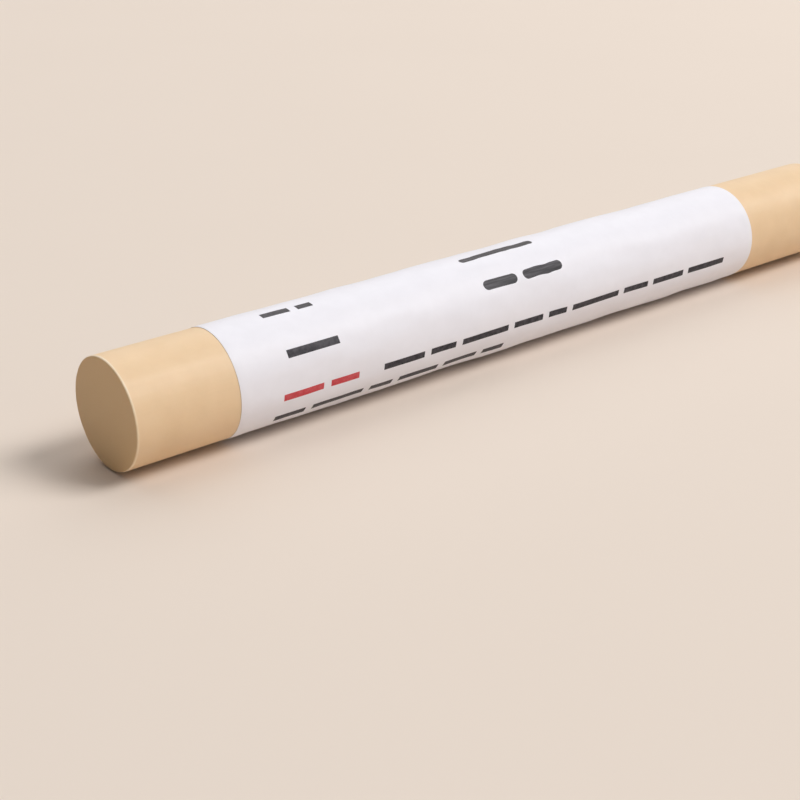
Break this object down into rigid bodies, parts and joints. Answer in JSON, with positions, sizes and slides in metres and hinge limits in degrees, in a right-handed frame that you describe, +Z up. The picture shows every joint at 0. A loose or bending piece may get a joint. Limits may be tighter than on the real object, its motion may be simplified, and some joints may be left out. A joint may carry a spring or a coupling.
{
  "type": "furniture repair wax stick",
  "caption": "Round moulded stick of tan filler wax with a lapped paper label wrapped around it, rubbed or melted into scratches and dents to repair wooden furniture.",
  "frame": {"origin": "on the floor, under the middle of the stick as it lies on its label", "axes": "+X along the stick from the near end to the far end, +Z up, -Y towards the side that the picture shows"},
  "size_m": [0.1, 0.0112, 0.0113],
  "materials": {
    "filler_wax": "smooth satin wax, slightly translucent",
    "adhesive": "tacky film",
    "label_paper": "coated white label paper, semi-gloss"
  },
  "bodies": {
    "root": {"wax_stick": "filler_wax", "label_adhesive": "adhesive", "paper_label": "label_paper"}
  },
  "joints": []
}
